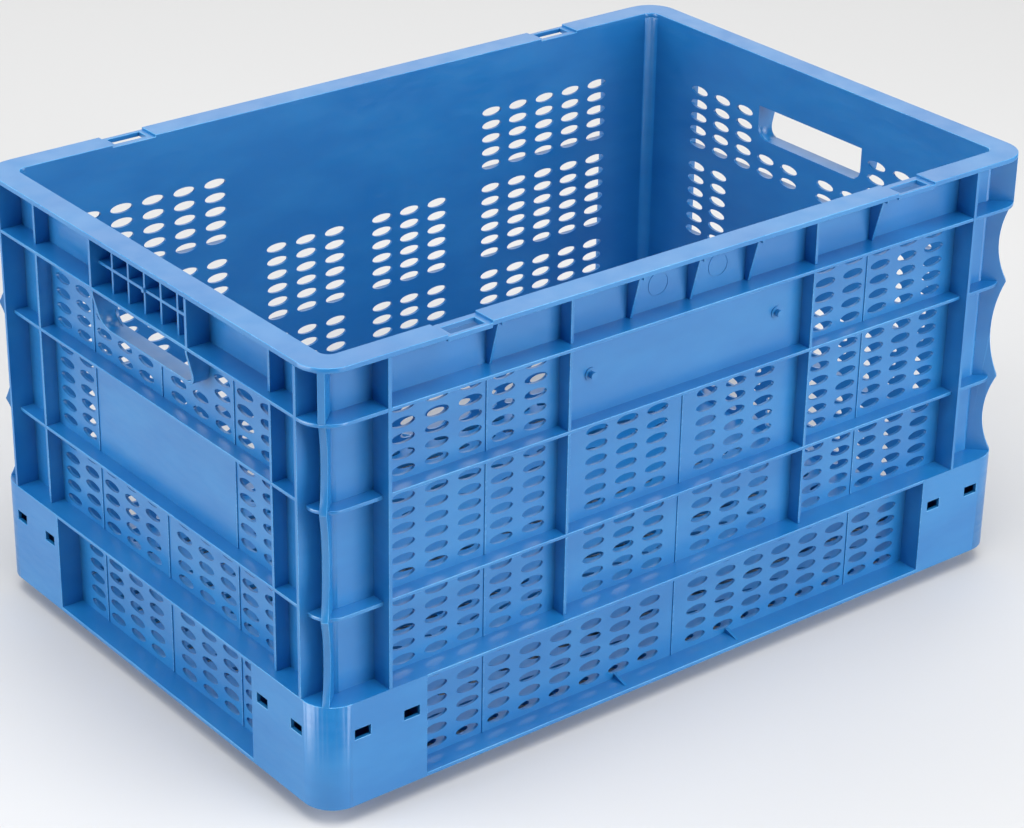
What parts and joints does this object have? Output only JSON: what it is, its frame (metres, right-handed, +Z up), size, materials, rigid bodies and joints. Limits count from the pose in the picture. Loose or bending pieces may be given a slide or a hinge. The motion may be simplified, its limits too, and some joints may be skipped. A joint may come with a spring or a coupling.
{
  "type": "stacking crate",
  "caption": "Rigid perforated plastic stacking crate with a ribbed rim, hand holes in both ends and a foot that nests in the rim below.",
  "frame": {"origin": "middle of the footprint, on the surface the crate stands on", "axes": "+X along the long side, +Y towards the rear long wall, +Z up"},
  "size_m": [0.6, 0.4, 0.32],
  "materials": {
    "moulding": "satin moulded polypropylene"
  },
  "bodies": {
    "root": {"corner_post_front_left": "moulding", "corner_post_front_right": "moulding", "corner_post_rear_left": "moulding", "corner_post_rear_right": "moulding", "floor_panel": "moulding", "floor_ribs": "moulding", "front_base_flange": "moulding", "front_belt_rib": "moulding", "front_flange_gussets": "moulding", "front_label_studs": "moulding", "front_lower_rib": "moulding", "front_middle_rib": "moulding", "front_mould_marks": "moulding", "front_panel_beads": "moulding", "front_plinth_shelf": "moulding", "front_rim_gussets": "moulding", "front_upright_rib_a": "moulding", "front_upright_rib_b": "moulding", "front_wall_panel": "moulding", "left_base_flange": "moulding", "left_belt_rib": "moulding", "left_grip_cage": "moulding", "left_handle_collar": "moulding", "left_lower_rib": "moulding", "left_middle_rib": "moulding", "left_panel_beads": "moulding", "left_plinth_shelf": "moulding", "left_upright_rib_a": "moulding", "left_upright_rib_b": "moulding", "left_wall_panel": "moulding", "plinth_corner_front_left": "moulding", "plinth_corner_front_right": "moulding", "plinth_corner_rear_left": "moulding", "plinth_corner_rear_right": "moulding", "rear_base_flange": "moulding", "rear_belt_rib": "moulding", "rear_flange_gussets": "moulding", "rear_label_studs": "moulding", "rear_lower_rib": "moulding", "rear_middle_rib": "moulding", "rear_panel_beads": "moulding", "rear_plinth_shelf": "moulding", "rear_rim_gussets": "moulding", "rear_upright_rib_a": "moulding", "rear_upright_rib_b": "moulding", "rear_wall_panel": "moulding", "right_base_flange": "moulding", "right_belt_rib": "moulding", "right_grip_cage": "moulding", "right_handle_collar": "moulding", "right_lower_rib": "moulding", "right_middle_rib": "moulding", "right_panel_beads": "moulding", "right_plinth_shelf": "moulding", "right_upright_rib_a": "moulding", "right_upright_rib_b": "moulding", "right_wall_panel": "moulding", "stacking_foot": "moulding", "top_rim": "moulding"}
  },
  "joints": []
}
